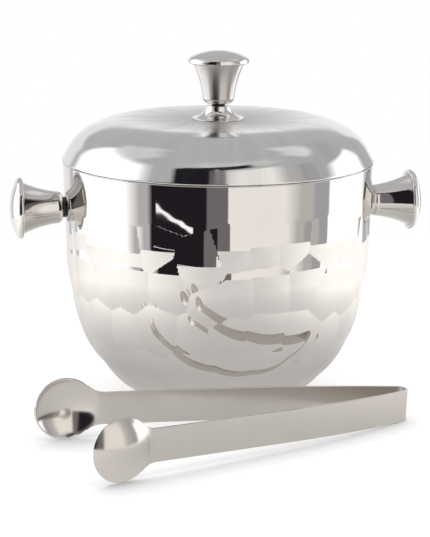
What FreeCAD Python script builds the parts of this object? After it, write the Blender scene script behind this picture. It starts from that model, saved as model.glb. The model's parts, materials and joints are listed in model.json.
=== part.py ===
import FreeCAD, Part

import math
import os
from FreeCAD import Placement, Rotation, Vector

# An insulated ice bucket with a loose lid, two side knobs and a pair of spring tongs beside it.
# Millimetres. +Z is up, the side knobs lie along X, and the origin is the centre of the flat base.

# bucket outline, from the seam down to the base
rim_radius = 90.0        # outer shell at the seam
seam_height = 138.0      # top of the bucket's rim, where the lid rests
side_lean = 1.16         # degrees off upright at the rim
belly_radius = 190.0     # first bend of the side
belly_angle = 15.2       # degrees off upright where it ends
bowl_radius = 77.0       # second, tighter bend
bowl_angle = 54.3
foot_radius = 25.0       # last bend, into the flat base

# bucket walls
shell_wall = 1.0
air_gap = 6.0
liner_wall = 0.8
rim_overhang = 0.3       # rim flange beyond the outer shell
rim_rounding = 0.35
mouth_rounding = 2.5
pad_margin = 8.0         # flat base left bare around the insulation pad

# lid outline, from the seam up to its flat top
lid_overhang = 0.5       # lid edge beyond the outer shell
lid_wall = 0.8
lid_seam_gap = 0.3
lid_seam_depth = 1.0     # how far the gap runs in from the bucket's edge
flank_lean = 29.6
flank_length = 8.8
shoulder_radius = 26.0
shoulder_angle = 62.0
crown_radius = 48.0

# lid underside
lid_liner_wall = 0.8
spigot_depth = 8.0
spigot_clearance = 0.6
spigot_rounding = 2.6

# knob, the same on the lid and on both sides
knob_ring_radius = 17.75     # widest circle of the cap
knob_ring_height = 24.4      # from the knob's small end
knob_dome = 6.5              # cap above its widest circle
knob_shoulder = 3.0
knob_lip = 1.1
knob_end_radius = 9.3
knob_end_rounding = 4.0
knob_flange_width = 1.2
knob_flange_thickness = 0.8
knob_flange_clearance = 0.25
knob_flare_bulge = 0.9       # how far the side curves inwards from straight
knob_lip_clearance = 0.1
knob_cap_wall = 1.0
knob_hollow_floor = 12.0
knob_hollow_radius = 7.4
knob_mouth_wall = 1.8
side_knob_drop = 26.4    # axis of the side knobs below the seam
side_spacer_radius = 5.9
side_spacer_length = 0.8
lid_spacer_radius = 3.75
lid_spacer_length = 1.0

# collar under the lid's knob
collar_height = 7.8
collar_foot_radius = 15.0
collar_top_radius = 7.0
collar_wall = 1.2
collar_foot_wall = 1.8
collar_lip = 0.7
collar_bulge = 1.7

# fasteners
stud_radius = 2.5
stud_grip = 8.0          # length inside the knob
stud_end = 0.6           # length past the nut
thread_clearance = 0.03
hole_clearance = 0.2
washer_radius = 7.0
washer_thickness = 1.2
nut_flats = 8.0
thin_nut_thickness = 2.7
nut_thickness = 4.0

# tongs
strip_width = 18.0
strip_thickness = 1.2
bow_radius = 4.6         # inside the bend
root_spread = 17.5       # degrees off the middle where an arm leaves the bend
arm_spread = 8.7         # and where it reaches the spoon
curved_length = 85.0     # stretch of an arm that turns from one to the other
straight_length = 104.0  # from there to the middle of the spoon
spoon_radius = 17.4
spoon_depth = 7.5
neck_rounding = 13.0
tongs_bend_reach = 0.2   # the bend lies this far outside the rim in X
tongs_bend_tuck = 10.9   # and this far inside the rim in Y, at the front
tongs_turn = 196.0       # degrees from +X to where the arms point

side_knob_height = seam_height - side_knob_drop
knob_flange_radius = knob_ring_radius - knob_cap_wall - knob_flange_clearance
knob_mouth_radius = knob_flange_radius - knob_flange_width

UP = Vector(0, 0, 1)
ORIGIN = Vector(0, 0, 0)


def outline(start, lean, rise, steps, inset):
    """Edges of an outline in the XZ plane that lies inset mm inside the one through start.

    Angles are degrees off upright, tilting towards the axis, and rise is 1 going up or -1 going down.
    A step is ("run", length) or ("bend", radius, end angle).
    """
    def outward(angle):
        a = math.radians(angle)
        return Vector(math.cos(a), 0, rise * math.sin(a))

    def ahead(angle):
        a = math.radians(angle)
        return Vector(-math.sin(a), 0, rise * math.cos(a))

    angle = lean
    point = Vector(start[0], 0, start[1]) - outward(angle) * inset
    edges = []
    for step in steps:
        if step[0] == "run":
            end = point + ahead(angle) * step[1]
            edges.append(Part.makeLine(point, end))
        else:
            radius = step[1] - inset
            middle = (angle + step[2]) / 2
            centre = point - outward(angle) * radius
            end = centre + outward(step[2]) * radius
            edges.append(Part.Arc(point, centre + outward(middle) * radius, end).toShape())
            angle = step[2]
        point = end
    return edges


def polyline(*points):
    """Straight edges through points given as (x, z)."""
    corners = [Vector(x, 0, z) for x, z in points]
    return [Part.makeLine(a, b) for a, b in zip(corners, corners[1:])]


def curve(start, through, end):
    """A circular arc through three points given as (x, z)."""
    return Part.Arc(*[Vector(x, 0, z) for x, z in (start, through, end)]).toShape()


def turned(edges):
    """The solid of revolution about Z of an open outline, closed along the axis."""
    first = edges[0].valueAt(edges[0].FirstParameter)
    last = edges[-1].valueAt(edges[-1].LastParameter)
    corners = [last, Vector(0, 0, last.z), Vector(0, 0, first.z), first]
    lines = [Part.makeLine(a, b) for a, b in zip(corners, corners[1:]) if a.distanceToPoint(b) > 1e-6]
    return Part.Face(Part.Wire(edges + lines)).revolve(ORIGIN, UP, 360)


def tube(outer, inner, low, high):
    """A plain ring or disc about Z."""
    ring = Part.makeCylinder(outer, high - low, Vector(0, 0, low))
    return ring.cut(Part.makeCylinder(inner, high - low, Vector(0, 0, low))) if inner else ring


def circles(shape, height, radius):
    """The circular edges of a shape at one height and radius."""
    return [e for e in shape.Edges if isinstance(e.Curve, Part.Circle)
            and abs(e.Curve.Center.z - height) < 1e-3 and abs(e.Curve.Radius - radius) < 1e-3]


def upright_length():
    """Length of the straight top of the bucket's side: what the bends leave of its height."""
    s = [math.sin(math.radians(a)) for a in (side_lean, belly_angle, bowl_angle, 90)]
    bends = belly_radius * (s[1] - s[0]) + bowl_radius * (s[2] - s[1]) + foot_radius * (s[3] - s[2])
    return (seam_height - bends) / math.cos(math.radians(side_lean))


def side_radius(height, inset):
    """Radius of the bucket's straight side at a height, inset mm inside the outer surface."""
    lean = math.radians(side_lean)
    return rim_radius - (seam_height - height) * math.tan(lean) - inset / math.cos(lean)


def base_radius():
    """Radius of the flat base."""
    c = [math.cos(math.radians(a)) for a in (side_lean, belly_angle, bowl_angle, 90)]
    bends = belly_radius * (c[0] - c[1]) + bowl_radius * (c[1] - c[2]) + foot_radius * (c[2] - c[3])
    return rim_radius - upright_length() * math.sin(math.radians(side_lean)) - bends


def bucket_form(inset):
    """The filled bucket shape, inset mm inside the outer surface, open-ended past the seam."""
    spare = 6.0
    lean = math.radians(side_lean)
    start = (rim_radius + spare * math.sin(lean), seam_height + spare * math.cos(lean))
    steps = [("run", upright_length() + spare), ("bend", belly_radius, belly_angle),
             ("bend", bowl_radius, bowl_angle), ("bend", foot_radius, 90)]
    return turned(outline(start, side_lean, -1, steps, inset))


def lid_form(inset):
    """The filled lid shape, inset mm inside the outer surface, open-ended below the seam."""
    spare = 4.0
    lean = math.radians(flank_lean)
    edge = rim_radius + lid_overhang
    start = (edge + spare * math.sin(lean), seam_height + lid_seam_gap - spare * math.cos(lean))
    steps = [("run", flank_length + spare), ("bend", shoulder_radius, shoulder_angle),
             ("bend", crown_radius, 90)]
    return turned(outline(start, flank_lean, 1, steps, inset))


def lid_top():
    """Height of the lid's flat top."""
    s = [math.sin(math.radians(a)) for a in (flank_lean, shoulder_angle, 90)]
    rise = flank_length * math.cos(math.radians(flank_lean))
    rise += shoulder_radius * (s[1] - s[0]) + crown_radius * (s[2] - s[1])
    return seam_height + lid_seam_gap + rise


def slab(low, high):
    """Everything between two heights."""
    return tube(3 * rim_radius, 0, low, high)


def bucket():
    """The double-walled bucket: outer shell, inner liner with the rim flange, and the pad between."""
    flange_low = seam_height - liner_wall
    shell = bucket_form(0).cut(bucket_form(shell_wall)).common(slab(-1, flange_low))
    hole = Part.makeCylinder(stud_radius + hole_clearance, 4 * rim_radius,
                             Vector(-2 * rim_radius, 0, side_knob_height), Vector(1, 0, 0))
    shell = shell.cut(hole)

    outside = shell_wall + air_gap
    mouth = side_radius(seam_height, outside + liner_wall)
    flange = tube(rim_radius + rim_overhang, side_radius(seam_height, outside + liner_wall / 2),
                  flange_low, seam_height)
    wall = bucket_form(outside).common(slab(-1, seam_height))
    liner = wall.fuse(flange).cut(bucket_form(outside + liner_wall)).removeSplitter()
    liner = liner.makeFillet(mouth_rounding, circles(liner, seam_height, mouth))
    edge = rim_radius + rim_overhang
    rim_edges = circles(liner, seam_height, edge) + circles(liner, flange_low, edge)
    liner = liner.makeFillet(rim_rounding, rim_edges)

    pad = tube(base_radius() - pad_margin, 0, shell_wall, outside)
    return {"outer_shell": shell, "inner_liner": liner, "insulation_pad": pad}


def knob_body():
    """The flared knob, its small end at z = 0: solid below, hollow above, with a flange for the cap."""
    foot = knob_end_radius - knob_end_rounding
    slope = 1 - 1 / math.sqrt(2)
    flange_low = knob_ring_height - knob_flange_thickness
    low = (knob_end_radius, knob_end_rounding)
    high = (knob_mouth_radius, flange_low)
    run = math.dist(low, high)
    middle = ((low[0] + high[0]) / 2 - knob_flare_bulge * (high[1] - low[1]) / run,
              (low[1] + high[1]) / 2 + knob_flare_bulge * (high[0] - low[0]) / run)
    corner = (knob_end_radius - knob_end_rounding * slope, knob_end_rounding * slope)
    edges = polyline((0, 0), (foot, 0))
    edges += [curve((foot, 0), corner, low), curve(low, middle, high)]
    edges += polyline(high, (knob_flange_radius, flange_low), (knob_flange_radius, knob_ring_height))
    hollow = Part.makeCone(knob_hollow_radius, knob_mouth_radius - knob_mouth_wall,
                           knob_ring_height - knob_hollow_floor, Vector(0, 0, knob_hollow_floor))
    bore = Part.makeCylinder(stud_radius + thread_clearance, stud_grip)
    return turned(edges).cut(hollow).cut(bore)


def dome_edges(inset):
    """Outline of the cap from the axis to its widest circle, inset mm inside the outer surface."""
    side = knob_ring_radius - knob_shoulder
    crown = (side ** 2 + knob_dome ** 2 - knob_shoulder ** 2) / (2 * (knob_dome - knob_shoulder))
    crown_height = knob_ring_height + knob_dome - crown
    tilt = math.atan2(side, knob_ring_height - crown_height)

    def arc(x, z, radius, begin, end):
        turns = (begin, (begin + end) / 2, end)
        return curve(*[(x + radius * math.sin(t), z + radius * math.cos(t)) for t in turns])

    return [arc(0, crown_height, crown - inset, 0, tilt),
            arc(side, knob_ring_height, knob_shoulder - inset, tilt, math.pi / 2)]


def knob_cap():
    """The domed cap, with its lip turned in under the flange of the knob."""
    top = knob_ring_height
    flange_low = top - knob_flange_thickness
    lip = knob_lip / math.sqrt(2)
    lip_end = (knob_ring_radius - knob_lip, top - knob_lip)
    lip_mouth = knob_mouth_radius + knob_lip_clearance
    edges = dome_edges(0)
    edges.append(curve((knob_ring_radius, top), (lip_end[0] + lip, top - lip), lip_end))
    edges += polyline(lip_end, (lip_mouth, lip_end[1]), (lip_mouth, flange_low),
                      (knob_flange_radius, flange_low), (knob_flange_radius, top),
                      (knob_ring_radius - knob_cap_wall, top))
    edges += dome_edges(knob_cap_wall)[::-1]
    edges += polyline((0, top + knob_dome - knob_cap_wall), (0, top + knob_dome))
    return Part.Face(Part.Wire(edges)).revolve(ORIGIN, UP, 360)


def nut(thickness, low):
    """A hexagon nut about Z."""
    corner = nut_flats / math.sqrt(3)
    points = [Vector(corner * math.cos(math.radians(a)), corner * math.sin(math.radians(a)), low)
              for a in range(0, 361, 60)]
    prism = Part.Face(Part.makePolygon(points)).extrude(UP * thickness)
    return prism.cut(Part.makeCylinder(stud_radius + thread_clearance, thickness, Vector(0, 0, low)))


def side_knob(name, direction):
    """One side knob and its fastening, placed on the bucket; direction is 1 for +X and -1 for -X."""
    wall = side_radius(side_knob_height, 0)
    inner = side_radius(side_knob_height, shell_wall)
    end = wall + side_spacer_length
    turn = Placement(Vector(0, 0, side_knob_height), Rotation(Vector(0, 1, 0), 90 * direction))

    def place(shape, x):
        shape.Placement = turn.multiply(Placement(Vector(0, 0, x), Rotation()))
        return shape

    hole = stud_radius + hole_clearance
    seat = inner - washer_thickness
    nut_low = seat - thin_nut_thickness
    stud_low = nut_low - stud_end
    spacer = place(tube(side_spacer_radius, hole, inner, end), 0).cut(bucket_form(0))
    washer = place(tube(washer_radius, hole, seat, wall), 0).common(bucket_form(shell_wall))
    return {
        name + "_knob_body": place(knob_body(), end),
        name + "_knob_cap": place(knob_cap(), end),
        name + "_knob_spacer": spacer,
        name + "_knob_stud": place(tube(stud_radius, 0, stud_low, end + stud_grip), 0),
        name + "_knob_washer": washer,
        name + "_knob_nut": place(nut(thin_nut_thickness, nut_low), 0),
    }


def collar():
    """The trumpet-shaped collar that stands on the lid's flat top, its foot at z = 0."""
    top = collar_height
    low, high = (collar_foot_radius, collar_lip), (collar_top_radius, top)
    run = math.dist(low, high)
    sink = (collar_bulge * (high[1] - low[1]) / run, collar_bulge * (low[0] - high[0]) / run)

    def flare(a, b):
        return curve(a, ((a[0] + b[0]) / 2 - sink[0], (a[1] + b[1]) / 2 - sink[1]), b)

    outer = turned(polyline((0, 0), (low[0], 0), low) + [flare(low, high)])
    inner = turned([flare((low[0] - collar_foot_wall, 0), (high[0] - collar_wall, top - collar_wall))])
    hole = Part.makeCylinder(stud_radius + hole_clearance, top)
    return outer.cut(inner).cut(hole)


def lid():
    """The double-walled lid with its knob, collar and fastening."""
    top = lid_top()
    hole = stud_radius + hole_clearance
    edge = seam_height + lid_seam_gap
    cover = lid_form(0).cut(lid_form(lid_wall)).common(slab(edge, top + 1))
    cover = cover.cut(tube(hole, 0, edge, top + 1))

    wall = lid_liner_wall
    bottom = seam_height - spigot_depth
    spigot = side_radius(bottom, shell_wall + air_gap + liner_wall) - spigot_clearance
    flange_top = seam_height + wall
    pan = tube(spigot, 0, bottom, flange_top).cut(tube(spigot - wall, 0, bottom + wall, flange_top))
    pan = pan.fuse(tube(rim_radius, spigot - wall, seam_height, flange_top)).removeSplitter()
    pan = pan.makeFillet(spigot_rounding, circles(pan, bottom, spigot))
    pan = pan.makeFillet(spigot_rounding - wall, circles(pan, bottom + wall, spigot - wall))
    seam = tube(rim_radius + lid_overhang, rim_radius - lid_seam_depth, seam_height, edge)
    pan = pan.common(lid_form(lid_wall).fuse(slab(bottom, edge))).cut(seam)

    spacer_low = top + collar_height
    end = spacer_low + lid_spacer_length
    seat = top - lid_wall
    nut_low = seat - washer_thickness - nut_thickness
    foot, body, cap = collar(), knob_body(), knob_cap()
    foot.translate(Vector(0, 0, top))
    body.translate(Vector(0, 0, end))
    cap.translate(Vector(0, 0, end))
    return {
        "lid_cover": cover,
        "lid_liner": pan,
        "lid_knob_collar": foot,
        "lid_knob_spacer": tube(lid_spacer_radius, hole, spacer_low, end),
        "lid_knob_body": body,
        "lid_knob_cap": cap,
        "lid_knob_stud": tube(stud_radius, 0, nut_low - stud_end, end + stud_grip),
        "lid_knob_washer": tube(washer_radius, hole, seat - washer_thickness, seat),
        "lid_knob_nut": nut(nut_thickness, nut_low),
    }


def spoon():
    """The spoon end of an arm along +X, its inner face at y = 0: straight strip, neck and spoon."""
    half = strip_width / 2
    middle = straight_length
    strip = Part.makeBox(middle, strip_thickness, strip_width, Vector(0, 0, -half))
    ball = (spoon_radius ** 2 + spoon_depth ** 2) / (2 * spoon_depth)
    centre = Vector(middle, spoon_depth - ball, 0)
    outside = Part.makeBox(4 * ball, 2 * ball, 4 * ball, Vector(middle - 2 * ball, 0, -2 * ball))
    hollow = Part.makeSphere(ball - strip_thickness, centre).common(outside)
    bowl = Part.makeSphere(ball, centre).common(outside)

    reach = math.sqrt((spoon_radius + neck_rounding) ** 2 - (half + neck_rounding) ** 2)
    touch = neck_rounding / (spoon_radius + neck_rounding)
    for side in (1, -1):
        edge = side * (half + neck_rounding)
        corner = Vector(middle - reach, 0, side * half)
        on_bowl = Vector(middle - reach * (1 - touch), 0, edge * (1 - touch))
        plate = Part.Face(Part.makePolygon([corner, on_bowl, Vector(middle, 0, 0), corner]))
        bite = Part.makeCylinder(neck_rounding, strip_thickness, Vector(middle - reach, 0, edge),
                                 Vector(0, 1, 0))
        strip = strip.fuse(plate.extrude(Vector(0, strip_thickness, 0)).cut(bite))
    return strip.fuse(bowl).cut(hollow).removeSplitter()


def arm():
    """One arm of the tongs, leaving the bend along +X with its inner face at y = 0."""
    turn = math.radians(root_spread - arm_spread)
    inner = curved_length / turn

    def on_arc(radius, angle):
        return Vector(radius * math.sin(angle), radius * math.cos(angle) - inner, -strip_width / 2)

    outer = inner + strip_thickness
    start, middle, end = (0, turn / 2, turn)
    curved = Part.Wire([
        Part.Arc(on_arc(inner, start), on_arc(inner, middle), on_arc(inner, end)).toShape(),
        Part.makeLine(on_arc(inner, end), on_arc(outer, end)),
        Part.Arc(on_arc(outer, end), on_arc(outer, middle), on_arc(outer, start)).toShape(),
        Part.makeLine(on_arc(outer, start), on_arc(inner, start)),
    ])
    far = spoon()
    far.rotate(ORIGIN, UP, -math.degrees(turn))
    far.translate(Vector(on_arc(inner, turn).x, on_arc(inner, turn).y, 0))
    return Part.Face(curved).extrude(UP * strip_width).fuse(far).removeSplitter()


def bow():
    """The bend of the tongs about the origin, open towards +X by twice the root spread."""
    half = strip_width / 2
    outer = bow_radius + strip_thickness
    side = math.radians(90 + root_spread)
    reach = 4 * outer
    left = Vector(reach * math.cos(side), reach * math.sin(side), -half)
    right = Vector(left.x, -left.y, -half)
    back = Vector(-reach, 0, 0)
    tip = Vector(0, 0, -half)
    wedge = Part.Face(Part.makePolygon([tip, left, left + back, right + back, right, tip]))
    return tube(outer, bow_radius, -half, half).common(wedge.extrude(UP * strip_width))


def tongs():
    """The tongs: a bent strip with a spoon on each arm, lying on the floor on the bend and both spoons."""
    pieces = {"tongs_bow": bow()}
    for name, side in (("tongs_back_arm", -1), ("tongs_front_arm", 1)):
        piece = arm()
        piece.translate(Vector(0, bow_radius, 0))
        if side < 0:
            piece = piece.mirror(ORIGIN, Vector(0, 1, 0))
        piece.rotate(ORIGIN, UP, side * root_spread)
        pieces[name] = piece

    half = strip_width / 2
    outer = bow_radius + strip_thickness
    root, spread = math.radians(root_spread), math.radians(arm_spread)
    chord = curved_length / (root - spread) * (math.sin(root) - math.sin(spread))
    length = chord + straight_length * math.cos(spread) - bow_radius * math.sin(root) + outer
    pitch = math.asin(spoon_radius / math.hypot(length, half)) - math.atan2(half, length)
    lift = outer * math.sin(pitch) + half * math.cos(pitch)
    tilt = Rotation(Vector(0, 1, 0), -math.degrees(pitch))
    corner = Vector(rim_radius + tongs_bend_reach, tongs_bend_tuck - rim_radius, lift)
    place = Placement(corner, Rotation(UP, tongs_turn).multiply(tilt))
    for piece in pieces.values():
        piece.Placement = place.multiply(piece.Placement)
    return pieces


nodes = {**bucket(), **side_knob("left", -1), **side_knob("right", 1), **lid(), **tongs()}
os.makedirs("parts", exist_ok=True)
for name, shape in nodes.items():
    solids = shape.Solids
    if len(solids) != 1 or not shape.isValid():
        raise ValueError(f"{name} has {len(solids)} solids, valid {shape.isValid()}")
    solids[0].exportStep(f"parts/{name}.step")
    box = solids[0].BoundBox
    print(f"{name:18s} {shape.Volume / 1000:8.2f} cm3  x {box.XMin:7.1f} {box.XMax:6.1f}"
          f"  y {box.YMin:7.1f} {box.YMax:6.1f}  z {box.ZMin:6.2f} {box.ZMax:6.2f}")
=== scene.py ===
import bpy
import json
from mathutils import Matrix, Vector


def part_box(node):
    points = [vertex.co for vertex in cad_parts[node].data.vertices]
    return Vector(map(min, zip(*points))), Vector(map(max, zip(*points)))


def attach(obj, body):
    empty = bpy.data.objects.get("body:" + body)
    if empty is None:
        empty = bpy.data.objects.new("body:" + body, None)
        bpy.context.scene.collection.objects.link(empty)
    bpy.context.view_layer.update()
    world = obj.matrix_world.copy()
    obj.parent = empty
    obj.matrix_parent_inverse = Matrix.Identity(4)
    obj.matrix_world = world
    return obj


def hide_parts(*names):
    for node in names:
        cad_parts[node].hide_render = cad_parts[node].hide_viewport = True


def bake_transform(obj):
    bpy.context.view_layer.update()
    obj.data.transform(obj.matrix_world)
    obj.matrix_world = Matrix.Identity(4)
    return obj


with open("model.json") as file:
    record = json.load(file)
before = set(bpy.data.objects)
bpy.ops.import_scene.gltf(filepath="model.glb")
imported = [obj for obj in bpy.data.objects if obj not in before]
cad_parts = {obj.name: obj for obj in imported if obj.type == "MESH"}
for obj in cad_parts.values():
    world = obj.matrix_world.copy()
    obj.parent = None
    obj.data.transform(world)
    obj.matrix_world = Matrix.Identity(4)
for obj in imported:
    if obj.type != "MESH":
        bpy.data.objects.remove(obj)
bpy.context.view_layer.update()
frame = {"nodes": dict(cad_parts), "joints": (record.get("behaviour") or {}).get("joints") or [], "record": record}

import json
import math

import bpy
import numpy as np
from mathutils import Quaternion, Vector

# Insulated ice bucket with a hammered side, its lid, three knobs and a pair of spring tongs.
# Metres. Each turned piece is a profile carried round an axis, each strip a profile carried along a path.


class Value:
    # a shader socket that takes part in Python expressions
    def __init__(self, graph, socket):
        self.graph, self.socket = graph, socket

    def maths(self, operation, *others, clamp=False):
        settings = {"operation": operation, "use_clamp": clamp}
        return self.graph.add("ShaderNodeMath", settings, dict(enumerate((self,) + others)))

    def other(self, name):
        return Value(self.graph, self.socket.node.outputs[name])

    def __add__(self, b):
        return self.maths("ADD", b)

    def __mul__(self, b):
        return self.maths("MULTIPLY", b)

    def __sub__(self, b):
        return self.maths("SUBTRACT", b)

    def __rsub__(self, b):
        return (self * -1) + b

    def __truediv__(self, b):
        return self.maths("DIVIDE", b)

    __rmul__ = __mul__

    def clamped(self):
        return self.maths("ADD", 0, clamp=True)

    def above(self, start, gain):
        # 0 up to the start, then rising by the gain to 1
        return ((self - start) * gain).clamped()


class Graph:
    # a node tree, with one method that makes every node in it
    def __init__(self, tree):
        self.tree = tree
        tree.nodes.clear()

    def add(self, kind, settings=None, values=None, out=0):
        node = self.tree.nodes.new(kind)
        for name, value in (settings or {}).items():
            setattr(node, name, value)
        for name, value in (values or {}).items():
            if isinstance(value, Value):
                self.tree.links.new(value.socket, node.inputs[name])
            elif hasattr(node.inputs[name].default_value, "__len__") and not hasattr(value, "__len__"):
                node.inputs[name].default_value = [value] * len(node.inputs[name].default_value)
            elif hasattr(value, "__len__") and len(node.inputs[name].default_value) == 4:
                node.inputs[name].default_value = (*value[:3], 1)
            else:
                node.inputs[name].default_value = value
        return Value(self, node.outputs[out]) if len(node.outputs) else node

    def mixColour(self, factor, a, b):
        # factor 0 gives a, 1 gives b
        names = ("Factor_Float", "A_Color", "B_Color")
        node = self.add("ShaderNodeMix", {"data_type": "RGBA"}).socket.node
        for name, value in zip(names, (factor, a, b)):
            socket = next(s for s in node.inputs if s.identifier == name)
            if isinstance(value, Value):
                self.tree.links.new(value.socket, socket)
            else:
                socket.default_value = value if name == "Factor_Float" else (*value[:3], 1)
        return Value(self, next(s for s in node.outputs if s.identifier == "Result_Color"))

    def noise(self, coordinates, scale, detail=2.0, roughness=0.5):
        values = {"Vector": coordinates, "Scale": scale, "Detail": detail, "Roughness": roughness}
        return self.add("ShaderNodeTexNoise", {}, values, "Fac")

    def place(self):
        return self.add("ShaderNodeTexCoord", {}, {}, "Object")

    def parts(self, vector):
        x = self.add("ShaderNodeSeparateXYZ", {}, {"Vector": vector}, "X")
        return x, x.other("Y"), x.other("Z")

    def vector(self, x, y, z):
        return self.add("ShaderNodeCombineXYZ", {}, {"X": x, "Y": y, "Z": z})

    def mapped(self, coordinates, turn, scale):
        # turned about Z, in radians, and then scaled
        values = {"Vector": coordinates, "Rotation": (0, 0, turn), "Scale": scale}
        return self.add("ShaderNodeMapping", {"vector_type": "POINT"}, values)

    def bump(self, height, distance):
        values = {"Height": height, "Distance": distance, "Strength": 1.0}
        return self.add("ShaderNodeBump", {}, values)


def newMaterial(name):
    material = bpy.data.materials.new(name)
    material.use_nodes = True
    return material, Graph(material.node_tree)


def finishMaterial(graph, **inputs):
    # names are the Principled sockets, with underscores for spaces
    values = {name.replace("_", " "): value for name, value in inputs.items()}
    shader = graph.add("ShaderNodeBsdfPrincipled", {}, values)
    graph.add("ShaderNodeOutputMaterial", {}, {"Surface": shader})


polish = {
    "tint": (0.745, 0.722, 0.698),
    "dull": (0.700, 0.680, 0.655),
    "patch": (0.35, 2.6),             # where the dull patches start in the noise, and how fast they rise
    "share": 0.7,                     # how far a patch goes towards the dull tint
    "grain": 0.01,                    # spread of the roughness
    "ripple": 0.000012,
}


def mirrorSteel(name, smooth, rough, scale=26.0):
    # buffed steel: cloudy patches from the buffing wheel in tint and roughness, and a very faint ripple
    material, graph = newMaterial(name)
    where = graph.place()
    cloud = graph.noise(where, scale, 3.0)
    grain = graph.noise(where, scale * 22, 2.0)
    patch = cloud.above(*polish["patch"])
    tint = graph.mixColour(patch * polish["share"], polish["tint"], polish["dull"])
    roughness = patch * (rough - smooth) + smooth + (grain - 0.5) * polish["grain"]
    bump = graph.bump(graph.noise(where, scale * 3.2, 1.0), polish["ripple"])
    finishMaterial(graph, Base_Color=tint, Metallic=1.0, Roughness=roughness, Normal=bump)
    return material


spun = {
    "ray": (1.6, 3.0, 3.0),           # scale of the rays' noise round, outwards and up
    "rayPatch": (0.4, 3.0),
    "ringTurn": 0.05,                 # how much a ring changes on its way round
    "cloud": 0.03,                    # spreads of the roughness
    "ring": 0.04,
    "middle": 0.075,                  # radius where the softer middle ends
}


def spunSteel(name, tint, dull, smooth, rough, rings, depth, middle=0.0):
    # steel spun on a lathe: fine rings round Z and soft rays that fan out from the middle
    material, graph = newMaterial(name)
    where = graph.place()
    x, y, z = graph.parts(where)
    angle = y.maths("ARCTAN2", x)
    radius = (x * x + y * y).maths("SQRT")
    fan = graph.vector(*(part * scale for part, scale in zip((angle, radius, z), spun["ray"])))
    rays = graph.noise(fan, 5.0, 4.0, 0.6)
    ring = graph.noise(graph.vector(angle * spun["ringTurn"], radius, z), rings, 2.0)
    cloud = graph.noise(where, 30.0, 2.0)
    patch = rays.above(*spun["rayPatch"])
    colour = graph.mixColour(patch, tint, dull)
    roughness = patch * (rough - smooth) + smooth
    roughness = roughness + (cloud - 0.5) * spun["cloud"] + (ring - 0.5) * spun["ring"]
    if middle:
        # softer towards the middle, where the wheel crosses its own marks
        roughness = roughness + (1 - radius / spun["middle"]).clamped() * middle
    bump = graph.bump(ring, depth)
    finishMaterial(graph, Base_Color=colour, Metallic=1.0, Roughness=roughness, Normal=bump)
    return material


brush = {
    "tint": (0.70, 0.672, 0.635),
    "dull": (0.64, 0.612, 0.575),
    "lines": (8.0, 60.0, 900.0),      # noise scale along, across and up
    "patch": (0.35, 2.4),
    "share": 0.6,
    "grain": 0.04,
    "depth": 0.0000012,
}


def brushedSteel(name, direction, smooth, rough):
    # belt-polished strip: long fine lines along a direction, given as degrees about Z
    material, graph = newMaterial(name)
    along = graph.mapped(graph.place(), -math.radians(direction), (1.0, 1.0, 1.0))
    grain = graph.noise(graph.mapped(along, 0, brush["lines"]), 1.0, 2.0)
    patch = graph.noise(graph.place(), 38.0, 3.0).above(*brush["patch"])
    tint = graph.mixColour(patch * brush["share"], brush["tint"], brush["dull"])
    roughness = patch * (rough - smooth) + smooth + (grain - 0.5) * brush["grain"]
    bump = graph.bump(grain, brush["depth"])
    finishMaterial(graph, Base_Color=tint, Metallic=1.0, Roughness=roughness, Normal=bump)
    return material


def platedSteel(name):
    # zinc-plated fasteners: grey with a crystalline mottle
    material, graph = newMaterial(name)
    where = graph.place()
    mottle = graph.noise(where, 900.0, 3.0)
    tint = graph.mixColour(mottle, (0.42, 0.43, 0.45), (0.60, 0.60, 0.58))
    bump = graph.bump(mottle, 0.00001)
    finishMaterial(graph, Base_Color=tint, Metallic=1.0, Roughness=mottle * 0.25 + 0.25, Normal=bump)
    return material


def mouldedPlastic(name, colour, other, roughness, grain, depth):
    # moulded nylon or foam: mottled colour over a fine pebble of grains per metre
    material, graph = newMaterial(name)
    where = graph.place()
    pebble = graph.noise(where, grain, 3.0)
    cloud = graph.noise(where, 120.0, 2.0)
    tint = graph.mixColour(cloud, colour, other)
    bump = graph.bump(pebble, depth)
    finishMaterial(graph, Base_Color=tint, Roughness=pebble * 0.2 + roughness, Normal=bump)
    return material


def addMesh(name, points, faces, material):
    # a smooth-shaded object with one material and its slot name
    mesh = bpy.data.meshes.new(name)
    mesh.from_pydata(points.reshape(-1, 3), [], faces)
    mesh.polygons.foreach_set("use_smooth", np.ones(len(mesh.polygons), bool))
    mesh.update()
    piece = bpy.data.objects.new(name, mesh)
    bpy.context.scene.collection.objects.link(piece)
    piece.data.materials.append(material)
    return piece


def ringFaces(rows, columns, closedRows):
    # quads of a grid that is closed across its columns, and across its rows too if asked
    row = np.arange(rows if closedRows else rows - 1)[:, None]
    column = np.arange(columns)[None, :]
    nextRow, nextColumn = (row + 1) % rows, (column + 1) % columns
    quads = [row * columns + column, row * columns + nextColumn,
             nextRow * columns + nextColumn, nextRow * columns + column]
    return np.stack(quads, -1).reshape(-1, 4)


def fanFaces(pole, start, columns, flip):
    # triangles from a pole to a ring that begins at vertex start
    ring = start + np.arange(columns)
    following = start + (np.arange(columns) + 1) % columns
    middle = np.full(columns, pole)
    return np.stack([middle, following, ring] if flip else [middle, ring, following], -1)


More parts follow.
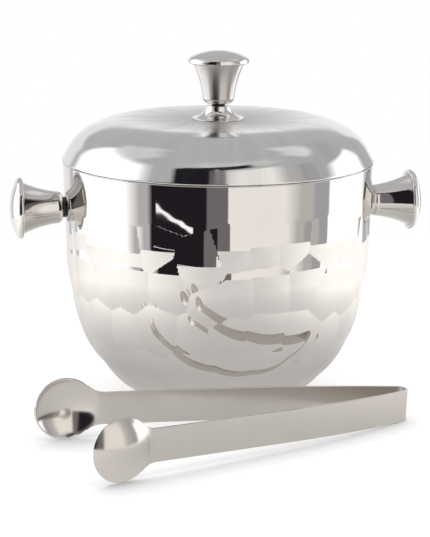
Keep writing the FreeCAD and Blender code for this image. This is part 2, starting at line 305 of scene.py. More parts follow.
def turnedPiece(name, profile, columns, material, base=(0, 0, 0), axis=(0, 0, 1)):
    # profile is (radius, height) rows, anticlockwise seen with the axis on the left, ends on the axis
    # or a closed loop; each point is base + height * axis + radius * (cos, sin) round the axis
    profile = np.asarray(profile, float)
    poles = profile[0, 0] < 1e-9
    rows = profile[1:-1] if poles else profile
    turn = np.arange(columns) / columns * 2 * math.pi
    up = Vector(axis).normalized()
    side = Vector((0, 1, 0)) if abs(up.x) > 0.5 else Vector((1, 0, 0))
    across = up.cross(side)
    ring = np.cos(turn)[:, None] * np.array(side) + np.sin(turn)[:, None] * np.array(across)
    points = rows[:, 0, None, None] * ring[None] + rows[:, 1, None, None] * np.array(up) + np.array(base)
    points = points.reshape(-1, 3)
    faces = ringFaces(len(rows), columns, not poles).tolist()
    if poles:
        ends = np.array([np.array(base) + profile[i, 1] * np.array(up) for i in (0, -1)])
        points = np.vstack([points, ends])
        count = len(rows) * columns
        faces += fanFaces(count, 0, columns, True).tolist()
        faces += fanFaces(count + 1, count - columns, columns, False).tolist()
    return addMesh(name, points, faces, material)


def roundedPath(corners, spacing):
    # corners are (radius, height, rounding); each corner between the ends becomes an arc tangent to
    # both its sides, and the straight runs between are divided to about the spacing
    corners = np.asarray(corners, float)
    path = [corners[0, :2]]
    for before, (*here, rounding), after in zip(corners[:-2, :2], corners[1:-1], corners[2:, :2]):
        here = np.array(here)
        before, after = before - here, after - here
        before, after = before / np.linalg.norm(before), after / np.linalg.norm(after)
        half = math.acos(np.clip(before @ after, -1, 1)) / 2
        middle = here + (before + after) / np.linalg.norm(before + after) * rounding / math.sin(half)
        first = here + before * rounding / math.tan(half) - middle
        last = here + after * rounding / math.tan(half) - middle
        sweep = math.atan2(first[0] * last[1] - first[1] * last[0], first @ last)
        turn = np.linspace(0, sweep, max(3, int(abs(sweep) / 0.16)) + 1)
        path += list(np.stack([first[0] * np.cos(turn) - first[1] * np.sin(turn),
                               first[0] * np.sin(turn) + first[1] * np.cos(turn)], 1) + middle)
    path.append(corners[-1, :2])
    pieces = []
    for a, b in zip(path[:-1], path[1:]):
        count = max(1, int(round(np.linalg.norm(b - a) / spacing)))
        pieces.append(a + (np.arange(count) / count)[:, None] * (b - a))
    return np.vstack(pieces + [path[-1]])


def bentPath(start, lean, rise, steps, spacing):
    # outline of a turned shell: runs and bends given as (length, radius or 0, end lean in degrees), and
    # lean is measured off upright; gives rows of (radius, height, lean), a bend's being its middle +
    # bend radius * (cos lean, rise * sin lean)
    point, rows = np.array(start, float), []
    for length, radius, end in steps:
        angle = math.radians(lean)
        if radius:
            count = max(2, int(abs(math.radians(end - lean)) * radius / spacing))
            turn = np.radians(np.linspace(lean, end, count + 1))
            middle = point - radius * np.array([math.cos(angle), rise * math.sin(angle)])
            stretch = middle + radius * np.stack([np.cos(turn), rise * np.sin(turn)], 1)
        else:
            count = max(1, int(length / spacing))
            turn = np.full(count + 1, angle)
            ahead = np.array([-math.sin(angle), rise * math.cos(angle)])
            stretch = point + np.linspace(0, length, count + 1)[:, None] * ahead
        rows.append(np.column_stack([stretch, turn])[(1 if rows else 0):])
        point, lean = stretch[-1], end
    return np.vstack(rows)


def shellPath(outline, rise, wall):
    # the outline moved inwards by a wall: normal is (cos lean, rise * sin lean)
    normal = np.stack([np.cos(outline[:, 2]), rise * np.sin(outline[:, 2])], 1)
    return outline[:, :2] - wall * normal


bucketSide = {
    "lean": 1.16,                     # degrees off upright at the rim
    "belly": (0.190, 15.2),           # bend radius, and lean where the bend ends
    "bowl": (0.077, 54.3),
    "foot": (0.025, 90.0),
    "wall": 0.0022,
    "columns": 600,
    "spacing": 0.00098,
    "edge": (0.00006, 0.00025),       # extra rows close under the rim keep its shading crisp
    "plain": (0.0004, 0.0185, 6),     # from, to, and one row kept of so many in the plain band
    "flatten": 0.006,                 # the facets die out over this length before the base
    "innerRows": 14,
}
pillows = {
    "seed": 5,
    # distance down to the middle of each row, and pillows in it
    "rows": ((0.0355, 27), (0.0615, 27), (0.0880, 25), (0.1110, 21), (0.1325, 16), (0.1510, 10)),
    "around": 8.2,                    # how much more each pillow curves than the side, per metre
    "upright": 6.2,
    "easy": 0.25,                     # share of that curve above the middle of the top row
    "sink": 0.00014,
    "sinkSpread": 0.00007,
    "tiltSpread": 1.3,                # degrees, and its limit
    "tiltLimit": 2.4,
    "jitter": (0.16, 0.0042),         # share of the distance round the bucket, and metres up it
    "top": (0.0128, 0.32, 0.0006),    # a top pillow's reach above its middle, its slant, and the edge
    "valley": 0.00004,                # how softly two pillows meet
    "floor": 0.02,                    # deeper than any pillow, where the search for the least begins
}


def bucketOutline():
    # a straight run from the rim and three bends; a bend drops radius * (sin end - sin start), and
    # the run takes what is left of the height
    low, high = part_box("outer_shell")
    s = bucketSide
    bends = [s[bend] for bend in ("belly", "bowl", "foot")]
    sines = [math.sin(math.radians(lean)) for lean in (s["lean"], *(bend[1] for bend in bends))]
    drop = sum(bend[0] * (b - a) for bend, a, b in zip(bends, sines, sines[1:]))
    run = (high.z - low.z - drop) / math.cos(math.radians(s["lean"]))
    steps = [(run, 0, s["lean"])] + [(0, *bend) for bend in bends]
    return bentPath((high.x, high.z), s["lean"], -1, steps, s["spacing"])


def softMin(a, b, width):
    # share of b, and the smaller of two arrays, rounded over where they differ by less than the width
    share = np.clip(0.5 + 0.5 * (a - b) / width, 0, 1)
    return share, a + share * (b - a) - width * share * (1 - share)


def pillowField(turn, distance, radius):
    # depth under the plain side: a pillow is sink + a h + b v + (A h^2 + B v^2) / 2, with h the distance
    # round the side and v the distance down from its middle, and the least of all pillows is taken;
    # it starts at the peaked tops of the first row; also gives the slopes of the depth along h and v
    random = np.random.default_rng(pillows["seed"])
    down = distance[:, None] + 0 * turn[None]
    depth, slopeH, slopeV = down * 0 + pillows["floor"], down * 0, down * 0
    inside = (down > pillows["rows"][0][0]) * 1.0
    reach, slant, edge = pillows["top"]
    curveH = pillows["around"]
    for index, (below, count) in enumerate(pillows["rows"]):
        shift = random.random() + 0.5 * (index % 2)
        for k in range(count):
            jitter = (random.random(2) - 0.5) * 2 * pillows["jitter"]
            place = (k + shift + jitter[0]) / count * 2 * math.pi
            tilts = random.normal(0, pillows["tiltSpread"], 2)
            leanH, leanV = np.radians(tilts.clip(-pillows["tiltLimit"], pillows["tiltLimit"]))
            sink = pillows["sink"] + random.uniform(-1, 1) * pillows["sinkSpread"]
            h = radius[:, None] * ((turn - place + math.pi) % (2 * math.pi) - math.pi)[None]
            v = down - below - jitter[1]
            curveV = pillows["upright"] * np.where((v < 0) & (index == 0), pillows["easy"], 1)
            cut = sink + leanH * h + leanV * v + (curveH * h * h + curveV * v * v) / 2
            share, depth = softMin(depth, cut, pillows["valley"])
            slopeH = slopeH + share * (leanH + curveH * h - slopeH)
            slopeV = slopeV + share * (leanV + curveV * v - slopeV)
            if index == 0:
                inside = np.maximum(inside, np.clip(0.5 + (reach - slant * np.abs(h) + v) / edge, 0, 1))
    return np.maximum(depth, 0) * inside, slopeH * inside, slopeV * inside


def makeBucketSide(material):
    # each point of the plain side moves inwards along its normal by the field's depth, and its shading
    # normal is the side's normal plus slope h along the round and slope v along the way down
    s = bucketSide
    outline = bucketOutline()
    edge = outline[:1] + np.array([[0, -1, 0]]) * np.array(s["edge"])[:, None]
    outline = np.vstack([outline[:1], edge, outline[1:]])
    steps = np.linalg.norm(np.diff(outline[:, :2], axis=0), axis=1)
    distance = np.concatenate([[0], np.cumsum(steps)])
    start, end, every = s["plain"]
    keep = (distance <= start) | (distance >= end) | (np.arange(len(outline)) % every == 0)
    outline, distance = outline[keep], distance[keep]
    columns = s["columns"]
    turn = np.arange(columns) / columns * 2 * math.pi
    cos, sin, level = np.cos(turn), np.sin(turn), np.zeros(columns)
    radius, height, lean = [outline[:, i, None] for i in range(3)]
    points = np.stack([radius * cos, radius * sin, height + level], -1)
    normals = np.stack([np.cos(lean) * cos, np.cos(lean) * sin, -np.sin(lean) + level], -1)
    fade = np.clip((distance[-1] - distance) / s["flatten"], 0, 1)[:, None]
    depth, slopeH, slopeV = [part * fade for part in pillowField(turn, distance, outline[:, 0])]
    east = np.stack([-sin, cos, level], -1)[None]
    below = np.stack([-np.sin(lean) * cos, -np.sin(lean) * sin, -np.cos(lean) + level], -1)
    facing = normals + slopeH[..., None] * east + slopeV[..., None] * below
    facing /= np.linalg.norm(facing, axis=-1)[..., None]
    print("pillows: deepest", round(float(depth.max()) * 1000, 2), "mm, top", points[0, 0].round(5))
    outside = points - normals * depth[..., None]

    # the inside runs from the base up to the rim, a wall's thickness further in
    inner = outline[:: max(1, len(outline) // s["innerRows"])]
    inner = shellPath(np.vstack([inner, outline[-1:]])[::-1], -1, s["wall"])
    inner[:, 1] = np.minimum(inner[:, 1], height[0, 0])
    inner[-1, 1] = height[0, 0]
    across, up = inner[:, 0, None], inner[:, 1, None]
    inside = np.stack([across * cos, across * sin, up + level], -1)

    # the two grids share a ring of faces at the rim, and each has its own pole at the base
    split = len(outside) * columns
    count = split + len(inside) * columns
    outer = ringFaces(len(outside), columns, False)[:, ::-1]
    inward = ringFaces(len(inside), columns, False)[:, ::-1] + split
    ring = np.arange(columns)
    following, last = (ring + 1) % columns, count - columns
    rim = np.stack([last + ring, ring, following, last + following], -1)
    faces = [*outer.tolist(), *inward.tolist(), *rim.tolist(),
             *fanFaces(count, split - columns, columns, True).tolist(),
             *fanFaces(count + 1, split, columns, False).tolist()]
    poles = np.array([[0, 0, outline[-1, 1]], [0, 0, inner[0, 1]]])
    grid = np.vstack([outside, inside]).reshape(-1, 3)
    piece = addMesh("bucket_side", np.vstack([grid, poles]), faces, material)

    own = np.empty(len(piece.data.vertices) * 3)
    piece.data.vertices.foreach_get("normal", own)
    own = own.reshape(-1, 3)
    shown = slice(2 * columns, split - columns)
    own[shown] = facing.reshape(-1, 3)[shown]
    piece.data.normals_split_custom_set_from_vertices(own)
    return piece


lidCover = {
    "lean": 29.6,                     # degrees off upright at the lower edge
    "flank": 0.0088,                  # length of the straight run there
    "shoulder": (0.026, 62.0),        # bend radius, and lean where the bend ends
    "crown": (0.048, 90.0),
    "wall": 0.0008,
    "lip": 0.00008,                   # bevel at the lower edge
    "hole": 1.1,                      # over the stud's radius
    "flat": 1.5,                      # spacing on the flat top and on the underside, over that outside
    "under": 4,
    "columns": 320,
    "spacing": 0.0009,
}


def makeLidCover(material):
    # a flank and two bends up to a flat top, turned round the axis, with the wall's underside inside
    low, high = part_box("lid_cover")
    s = lidCover
    steps = [(s["flank"], 0, s["lean"]), (0, *s["shoulder"]), (0, *s["crown"])]
    outline = bentPath((high.x, low.z), s["lean"], 1, steps, s["spacing"])
    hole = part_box("lid_knob_stud")[1].x * s["hole"]
    flat = np.arange(outline[-1, 0] - s["spacing"], hole, -s["spacing"] * s["flat"])
    over = np.vstack([outline[:, :2], np.stack([flat, np.full(len(flat), outline[-1, 1])], 1)])
    under = shellPath(outline, 1, s["wall"])[::s["under"]]
    under[:, 1] = np.maximum(under[:, 1], low.z)
    under = np.vstack([under, [[hole, high.z - s["wall"]]]])
    lip = [[over[0, 0] - s["lip"], low.z]]
    profile = np.vstack([over, under[::-1], lip])
    return turnedPiece("lid_cover_skin", profile, s["columns"], material)


knob = {
    "ring": (0.01775, 0.0244),        # widest circle: radius, and height from the small end
    "dome": 0.0065,                   # height of the cap over the widest circle
    "shoulder": 0.0030,               # radii of the cap's outer bend and of its turned-in lip
    "lip": 0.0011,
    "end": (0.0093, 0.0040),          # small end: radius and rounding
    "mouth": 0.0153,                  # radius of the body where it meets the cap
    "flange": 0.0008,
    "bulge": 0.0009,                  # how far the flare bends inwards
    "wall": 0.0010,
    "hollow": (0.0074, 0.0120),       # the body's blind hollow: radius and floor
    "ledge": 0.0018,                  # from the body's mouth in to the hollow
    "gap": 0.0001,                    # between the body's mouth and the cap
    "columns": 160,
}


def arcThrough(a, b, bulge, count):
    # circular arc from a to b whose middle stands off the straight line by the bulge, to its right
    a, b = np.array(a, float), np.array(b, float)
    chord = np.linalg.norm(b - a)
    radius = (chord ** 2 / 4 + bulge ** 2) / (2 * abs(bulge))
    ahead = (b - a) / chord
    right = np.array([ahead[1], -ahead[0]]) * math.copysign(1, bulge)
    reach = math.asin(chord / 2 / radius)
    turn = np.linspace(-reach, reach, count)
    middle = (a + b) / 2 + right * (abs(bulge) - radius)
    return middle + radius * (np.outer(np.sin(turn), ahead) + np.outer(np.cos(turn), right))


def knobBodyProfile():
    # a flat foot, a quarter-round heel, a flare out to the mouth, and the hollow under the cap
    k = knob
    foot, rounding = k["end"][0] - k["end"][1], k["end"][1]
    turn = np.linspace(0, math.pi / 2, 20)
    heel = np.stack([foot + rounding * np.sin(turn), rounding - rounding * np.cos(turn)], 1)
    top = k["ring"][1] - k["flange"]
    flare = arcThrough(heel[-1], (k["mouth"], top), -k["bulge"], 44)[1:]
    base = np.linspace(0, foot, 12)[:-1, None] * np.array([[1, 0]])
    hollow, floor = k["hollow"]
    inside = [(k["mouth"] - k["ledge"], top), (hollow, floor), (0, floor)]
    return np.vstack([base, heel, flare, inside])


def knobCapProfile():
    # the dome is a circle of radius (side^2 + dome^2 - shoulder^2) / (2 (dome - shoulder)), which makes
    # it tangent to the shoulder's small circle; the lip turns in below
    k = knob
    ring, level = k["ring"]
    side = ring - k["shoulder"]
    crown = (side ** 2 + k["dome"] ** 2 - k["shoulder"] ** 2) / (2 * (k["dome"] - k["shoulder"]))
    middle = level + k["dome"] - crown
    tilt = math.atan2(side, level - middle)
    dome = np.linspace(0, tilt, 44)
    round_ = np.linspace(tilt, math.pi / 2, 16)[1:]
    lip = np.linspace(math.pi / 2, math.pi, 10)[1:]
    outside = np.vstack([
        np.stack([crown * np.sin(dome), middle + crown * np.cos(dome)], 1),
        np.stack([side + k["shoulder"] * np.sin(round_), level + k["shoulder"] * np.cos(round_)], 1),
        np.stack([ring - k["lip"] + k["lip"] * np.sin(lip), level + k["lip"] * np.cos(lip)], 1),
    ])
    mouth = k["mouth"] + k["gap"]
    under = [(mouth, level - k["lip"]), (mouth, level), (side, level + k["wall"]),
             (0, level + k["dome"] - k["wall"])]
    return np.vstack([outside, under])[::-1]


def makeKnob(prefix, body, axis, materials):
    # the small end lies on the face of the CAD knob's box that looks back along the axis
    low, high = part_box(prefix + "_knob_body")
    middle = (low + high) / 2
    axis = Vector(axis)
    start = middle - axis * abs((high - low).dot(axis)) / 2
    for part, profile in (("body", knobBodyProfile()), ("cap", knobCapProfile())):
        node = f"{prefix}_knob_{part}"
        piece = turnedPiece(node + "_turned", profile, knob["columns"], materials[part],
                            start, axis)
        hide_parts(node)
        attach(piece, body)


collar = {
    "top": 0.0070,
    "lip": 0.0007,                    # thickness of the foot's bead
    "bulge": 0.0017,
    "bevel": 0.0003,                  # at the top edge
    "hole": 1.05,                     # over the stud's radius
    "sole": 0.003,                    # width of the ring it stands on
    "columns": 160,
}


def makeCollar(material):
    # trumpet: a rounded foot, then one inward arc up to the narrow top
    low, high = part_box("lid_knob_collar")
    foot, height = high.x, high.z - low.z
    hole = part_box("lid_knob_stud")[1].x * collar["hole"]
    turn = np.linspace(-math.pi / 2, math.pi / 3, 10)
    half = collar["lip"] / 2
    bead = np.stack([foot - half + half * np.cos(turn), half + half * np.sin(turn)], 1)
    top, bevel = collar["top"], collar["bevel"]
    flare = arcThrough(bead[-1], (top, height - bevel), -collar["bulge"], 40)[1:]
    edge = [(top - bevel, height), (hole, height), (hole, height - 0.001)]
    under = [(top - 0.002, height - 0.0015), (foot - collar["sole"], 0)]
    profile = np.vstack([bead, flare, edge, under])
    return turnedPiece("lid_knob_collar_turned", profile, collar["columns"], material,
                       (0, 0, low.z))


tongs = {
    "width": 0.018,
    "thickness": 0.0012,
    "bow": 0.0046,                    # radius inside the bend
    "root": 17.5,                     # degrees off the middle where an arm leaves the bend
    "spread": 8.7,                    # and where it reaches the spoon
    "curved": 0.085,
    "straight": 0.104,
    "spoon": 0.0174,                  # outer radius, and depth over the outer face
    "dish": 0.0075,
    "neck": 0.013,
    "soften": 0.0026,                 # how softly the dish runs into the neck
    "before": (0.034, 0.004),         # finer rows from and to here before the spoon's middle
    "tip": (89.0, 0.0005),            # the last row's angle round the spoon, and how far it stops short
    "edge": 0.00012,                  # how far the rounded edges stand out
    "lane": 0.9,                      # share of a quarter turn that spaces the columns across
    "blend": 0.030,
    "across": 31,
}


def tongsHalf(name, own, other, material):
    # the middle surface is path(s) + v * half width * up + outward * dish(distance from the spoon's
    # middle), and each face lies half a thickness off it along its own normal
    t = tongs
    joints = {j["name"]: j for j in frame["joints"]}
    here, there = [Vector(joints[n + "_arm_squeeze"]["pos_m"]) for n in (own, other)]
    up = Vector(joints["back_arm_squeeze"]["axis"]).normalized()
    outward = (here - there).normalized()
    ahead = outward.cross(up)
    if ahead.x > 0:
        ahead = -ahead
    root = math.radians(t["root"])
    middle = (here + there) / 2 + ahead * t["bow"] * math.sin(root)
    bowEnd = t["bow"] * (math.pi / 2 - root)
    straight = bowEnd + t["curved"]
    centre = straight + t["straight"]
    fine, last = t["before"]
    stops, rows = (0, bowEnd, straight, centre - fine, centre - last), (18, 60, 40, 60)
    s = [np.linspace(a, b, count)[:-1] for a, b, count in zip(stops, stops[1:], rows)]
    tip = np.linspace(0, 1, 26) * math.radians(t["tip"][0])
    s = np.concatenate([*s, centre - last + (t["spoon"] - t["tip"][1] + last) * np.sin(tip)])
    spread = math.radians(t["spread"])
    heading = np.interp(s, (0, bowEnd, straight), (math.pi / 2, root, spread))
    step, turn = np.diff(s), np.diff(heading)
    mean = (heading[1:] + heading[:-1]) / 2
    chord = step * np.sinc(turn / 2 / math.pi)
    along = np.concatenate([[-t["bow"]], -t["bow"] + np.cumsum(chord * np.cos(mean))])
    off = np.concatenate([[0], np.cumsum(chord * np.sin(mean))])
    ahead, outward, up = [np.array(v) for v in (ahead, outward, up)]
    line = np.array(middle) + along[:, None] * ahead + off[:, None] * outward
    normal = -np.sin(heading)[:, None] * ahead + np.cos(heading)[:, None] * outward

    # the middle surface of the spoon lies half a thickness inside its outer face
    half, depth = t["width"] / 2, t["dish"] - t["thickness"]
    flare = math.sin(2 * math.atan(depth / t["spoon"]))
    spoon = t["spoon"] - (t["thickness"] / 2 + 0.0001) * flare
    reach = math.sqrt((t["spoon"] + t["neck"]) ** 2 - (half + t["neck"]) ** 2)
    touch = reach * (1 - t["neck"] / (t["spoon"] + t["neck"]))
    back = s - (centre - reach)
    fillet = half + t["neck"] - np.sqrt(np.maximum(t["neck"] ** 2 - np.maximum(back, 0) ** 2, 0))
    round_ = np.sqrt(np.maximum(spoon ** 2 - (s - centre) ** 2, 0))
    halfWidth = np.where(s < centre - reach, half, np.where(s < centre - touch, fillet, round_))

    lane = math.pi / 2 * t["lane"]
    v = np.sin(np.linspace(-1, 1, t["across"]) * lane) / math.sin(lane)
    high = halfWidth[:, None] * v[None]
    ball = (spoon ** 2 + depth ** 2) / (2 * depth)
    gap2 = (s - centre)[:, None] ** 2 + high ** 2
    dome = np.sqrt(np.maximum(ball ** 2 - gap2, 0)) + depth - ball
    dome = np.where(s[:, None] < centre - t["spoon"] * 1.9, -0.01, dome)
    width = t["soften"] * np.clip((centre - s) / t["spoon"], 0.02, 1)[:, None]
    dish = -softMin(-dome, np.zeros_like(dome), width)[1]
    dish = np.where(s[:, None] > centre, np.maximum(dome, 0), dish)
    face = line[:, None] + high[..., None] * up + (dish + t["thickness"] / 2)[..., None] * normal[:, None]

    alongGrid = np.gradient(face, axis=0)
    acrossGrid = np.gradient(face, axis=1)
    perp = np.cross(alongGrid, acrossGrid)
    perp /= np.maximum(np.linalg.norm(perp, axis=-1), 1e-12)[..., None]
    perp *= np.sign((perp * normal[:, None]).sum(-1))[..., None]
    offset = perp * t["thickness"] / 2
    outer, inner = face + offset, face - offset
    edge = np.linspace(0, math.pi, 5)[1:-1, None, None]
    rim = []
    for column, way in ((-1, 1), (0, -1)):
        swing = np.cos(edge) * offset[None, :, column] * way
        push = np.sin(edge) * t["edge"] * way * up
        rim.append(np.moveaxis(face[None, :, column] + swing + push, 0, 1))
    loop = np.concatenate([outer, rim[0], inner[:, ::-1], rim[1]], 1)
    rows, columns = loop.shape[:2]
    bend, tipEnd = np.arange(columns), np.arange((rows - 1) * columns, rows * columns)
    faces = [*ringFaces(rows, columns, False).tolist(), bend[::-1].tolist(), tipEnd.tolist()]
    if np.dot(np.cross(ahead, outward), up) < 0:
        # the other half is a mirror image, so its faces are turned over
        faces = [face[::-1] for face in faces]
    piece = addMesh(name, loop.reshape(-1, 3), faces, material)
    start = line[17]              # where the bend ends
    tuple(start + ahead * t["blend"])
    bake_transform(piece)
    return piece


# the numbers are the lowest and highest roughness, then noise scales and bump depths
finishes = {
    "side": mirrorSteel("buffed_side", 0.008, 0.026),
    "knob": mirrorSteel("buffed_knob", 0.04, 0.10, 60.0),
    "cap": mirrorSteel("buffed_cap", 0.05, 0.13, 60.0),
    "lid": spunSteel("spun_lid", (0.735, 0.725, 0.71), (0.66, 0.655, 0.645),
                     0.05, 0.12, 900.0, 0.0000015, 0.55),
    "liner": spunSteel("spun_liner", (0.62, 0.615, 0.605), (0.52, 0.515, 0.505),
                       0.28, 0.42, 2600.0, 0.000006),
    "tongs": brushedSteel("polished_tongs", 16.0, 0.14, 0.23),
    "plated": platedSteel("plated_fastener"),
    "nylon": mouldedPlastic("black_nylon", (0.012, 0.012, 0.013), (0.03, 0.03, 0.032),
                            0.35, 2500.0, 0.00002),
    "foam": mouldedPlastic("closed_cell_foam", (0.80, 0.77, 0.69), (0.88, 0.86, 0.80),
                           0.75, 1500.0, 0.0002),
}
print("finishes made")

side = makeBucketSide(finishes["side"])
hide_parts("outer_shell")
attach(side, "bucket")
print("bucket side made")

cover = makeLidCover(finishes["lid"])
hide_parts("lid_cover")
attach(cover, "lid")
trumpet = makeCollar(finishes["knob"])
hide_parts("lid_knob_collar")
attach(trumpet, "lid")
print("lid made")

knobFinishes = {"body": finishes["knob"], "cap": finishes["cap"]}
makeKnob("left", "bucket", (-1, 0, 0), knobFinishes)
makeKnob("right", "bucket", (1, 0, 0), knobFinishes)
makeKnob("lid", "lid", (0, 0, 1), knobFinishes)
print("knobs made")

frontArm = tongsHalf("tongs_front_half", "front", "back", finishes["tongs"])
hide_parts("tongs_front_arm", "tongs_bow")
backArm = tongsHalf("tongs_back_half", "back", "front", finishes["tongs"])
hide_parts("tongs_back_arm")
print("tongs made")

slotFinish = {"satin_steel": "liner", "fastener_steel": "plated", "black_nylon": "nylon", "foam": "foam",
              "mirror_steel": "side"}
for part in frame["record"]["subparts"]:
    mesh = frame["nodes"][part["node"]].data
    mesh.materials.clear()
    mesh.materials.append(finishes[slotFinish[part["material_slot"]]])
print("CAD pieces finished")

table = {
    "radius": 0.47,
    "thickness": 0.0003,
    "rounding": 0.0001,
    "near": 0.57,                     # level of the painted glow in reflections at the middle, where it stands for the bucket's shade, and how far it rises
    "front": 0.27,
    "side": 0.56,
    "reach": (0.075, 0.26),           # distances where a rise starts and ends
    "sideReach": (0.08, 0.27),
    "cloud": 0.14,
    "tint": (1.01, 0.985, 0.965),
}


def makeTable():
    # a round white table top; reflections see it glow with painted light instead, its level rising away from the
    # middle, most to the sides, for painted shade near the bucket's foot and painted light outwards: near + front
    # f + side g (x / r)^2, with f and g from 0 to 1 over their reaches
    radius, low, rounding = table["radius"], -table["thickness"], table["rounding"]
    profile = roundedPath([(0, low, 0), (radius, low, rounding), (radius, 0, rounding), (0, 0, 0)], 0.05)
    material, graph = newMaterial("table_top")
    where = graph.place()
    x, y = graph.parts(where)[:2]
    away = (x * x + y * y).maths("SQRT").maths("MAXIMUM", 0.01)
    reaches = (table["reach"], table["sideReach"])
    rise, sideRise = [((away - start) / (end - start)).clamped() for start, end in reaches]
    level = rise * table["front"] + sideRise * (x * x) / (away * away) * table["side"] + table["near"]
    level = level + (graph.noise(where, 6.0, 1.0) - 0.5) * table["cloud"]
    channels = {name: level * share for name, share in zip(("Red", "Green", "Blue"), table["tint"])}
    colour = graph.add("ShaderNodeCombineColor", {}, channels)
    matt = {"Roughness": 1, "Specular IOR Level": 0}
    # the glow that reflections see: painted light and painted shade of the table, which the studio does not light
    paintedGlow = {"Base Color": 0, "Emission Color": colour, "Emission Strength": 1}
    shown = graph.add("ShaderNodeBsdfPrincipled", {}, {**matt, **paintedGlow})
    plain = graph.add("ShaderNodeBsdfPrincipled", {}, {**matt, "Base Color": 0.95})
    mirrored = graph.add("ShaderNodeLightPath", {}, {}, "Is Glossy Ray")
    shader = graph.add("ShaderNodeMixShader", {}, {0: mirrored, 1: plain, 2: shown})
    graph.add("ShaderNodeOutputMaterial", {}, {"Surface": shader})
    turnedPiece("table_top", profile, 96, material)


studio = {
    "seen": 1.0,                      # level for the camera, and for matt surfaces
    "diffuse": 0.50,
    "sun": {"rise": 78.0, "turn": 184.0, "strength": 2.15, "spread": 85.0},
    "base": (0.575, 0.575, 0.585),
    # azimuth from, to, elevation from, to (degrees), feathers left, right, low, high, colour, and how
    # far the elevations fall per degree of azimuth
    "cards": (
        (150, 200, -60, 18, 6, 6, 6, 4, (1.00, 1.00, 1.02), 0),
        (-200, -150, -60, 18, 6, 6, 6, 4, (0.95, 0.95, 0.97), 0),
        (80, 145, 26, 46, 6, 8, 4, 6, (0.53, 0.53, 0.54), 0),
        (124, 150, -60, 36, 4, 5, 5, 8, (0.55, 0.55, 0.56), 0),
        (96, 142, 49, 62, 10, 10, 4, 5, (0.90, 0.90, 0.91), 0),
        (-152, -98, 46, 66, 10, 12, 4, 8, (0.82, 0.82, 0.83), 0),
        (-34, 62, 56, 68, 24, 24, 3, 9, (0.72, 0.715, 0.71), 0),
        (-142, -76, -60, 44, 7, 15, 5, 9, (1.62, 1.62, 1.66), 0),
        (81, 127, -60, 28, 2.5, 7, 5, 4, (1.62, 1.62, 1.66), 0),
        (64, 80.5, -60, 42, 3, 1.5, 5, 5, (0.46, 0.455, 0.475), 0),
        (46, 66, -60, 44, 12, 4, 5, 6, (0.60, 0.58, 0.56), 0),
        (-2, 48, -60, 49.5, 1.0, 14, 5, 2, (1.07, 1.04, 1.00), 0),
        (-60, -16, -60, 20, 4, 1.5, 5, 12, (0.018, 0.015, 0.02), 0),
        (-50, -12, -40, 49.5, 5, 1.5, 5, 1.5, (0.018, 0.015, 0.02), -0.12),
        (-17, -1.5, -60, 50, 1.5, 1.0, 5, 3, (0.20, 0.185, 0.19), 0),
        (-44, -6, 46, 51.5, 4, 1, 1, 1.2, (0.02, 0.018, 0.022), -0.17),
        (-8, 29, 50, 57.5, 1, 10, 1, 1.2, (0.02, 0.018, 0.022), -0.10),
        (-55, -27, -13.00, -12.84, 0.6, 0.6, 0.05, 0.05, (1.3, 1.3, 1.3), 0.030),
    ),
}


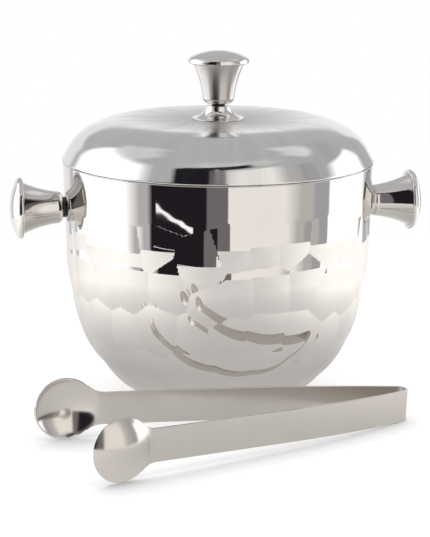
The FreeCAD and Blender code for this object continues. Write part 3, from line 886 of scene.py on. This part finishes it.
def makeStudio():
    # light by direction: soft-edged cards at infinity, laid over one another in order, seen in
    # reflections; matt surfaces get an even light and the camera sees plain white
    world = bpy.data.worlds.new("studio")
    bpy.context.scene.world = world
    world.use_nodes = True
    world.cycles.sampling_method = "NONE"
    graph = Graph(world.node_tree)
    where = graph.add("ShaderNodeTexCoord", {}, {}, "Generated")
    x, y, z = graph.parts(where)
    azimuth = x.maths("ARCTAN2", y * -1) * math.degrees(1)
    elevation = z.maths("ARCSINE") * math.degrees(1)
    colour = studio["base"]
    for left, right, low, high, softLeft, softRight, softLow, softHigh, tint, fall in studio["cards"]:
        raised = elevation + (azimuth - left) * fall if fall else elevation
        edges = [(azimuth, left, softLeft, 1), (azimuth, right, softRight, -1),
                 (raised, low, softLow, 1), (raised, high, softHigh, -1)]
        mask = 1
        for angle, edge, soft, way in edges:
            mask = mask * ((angle - edge) * (way / soft) + 0.5).clamped()
        colour = graph.mixColour(mask, colour, tint)
    path = graph.add("ShaderNodeLightPath", {}, {}, "Is Camera Ray")
    colour = graph.mixColour(path.other("Is Diffuse Ray"), colour, (studio["diffuse"],) * 3)
    colour = graph.mixColour(path, colour, (studio["seen"],) * 3)
    light = graph.add("ShaderNodeBackground", {}, {"Color": colour, "Strength": 1.0})
    graph.add("ShaderNodeOutputWorld", {}, {"Surface": light})


camera = {
    "azimuth": -9.1, "elevation": 12.5, "distance": 1.2, "target": (-0.00128, 0.00021, 0.0727),
    "lens": 136.8, "sensor": 36.0, "roll": 0.38,
}


def direction(turn, rise):
    # (sin turn cos rise, -cos turn cos rise, sin rise), both given in degrees
    turn, rise = math.radians(turn), math.radians(rise)
    return Vector((math.sin(turn) * math.cos(rise), -math.cos(turn) * math.cos(rise), math.sin(rise)))


def makeCamera():
    back = direction(camera["azimuth"], camera["elevation"])
    data = bpy.data.cameras.new("camera")
    data.lens, data.sensor_width = camera["lens"], camera["sensor"]
    data.clip_start, data.clip_end = 0.05, 20.0
    holder = bpy.data.objects.new("camera", data)
    bpy.context.scene.collection.objects.link(holder)
    holder.rotation_mode = "QUATERNION"
    holder.location = Vector(camera["target"]) + back * camera["distance"]
    roll = Quaternion((0, 0, 1), math.radians(camera["roll"]))
    holder.rotation_quaternion = (-back).to_track_quat("-Z", "Y") @ roll
    bpy.context.scene.camera = holder


def makeSun(blockers):
    # soft light from behind and above that only the tongs stand in; steel doesn't mirror it
    sun = studio["sun"]
    data = bpy.data.lights.new("back_light", "SUN")
    data.energy, data.angle = sun["strength"], math.radians(sun["spread"])
    lamp = bpy.data.objects.new("back_light", data)
    bpy.context.scene.collection.objects.link(lamp)
    lamp.rotation_mode = "QUATERNION"
    lamp.rotation_quaternion = direction(sun["turn"], sun["rise"]).to_track_quat("Z", "Y")
    lamp.visible_glossy = False
    group = bpy.data.collections.new("shadow_makers")
    for blocker in blockers:
        group.objects.link(blocker)
    lamp.light_linking.blocker_collection = group


makeTable()
makeStudio()
makeSun([frontArm, backArm])
makeCamera()
bpy.context.scene.view_settings.view_transform = "Standard"
print("studio and camera made")
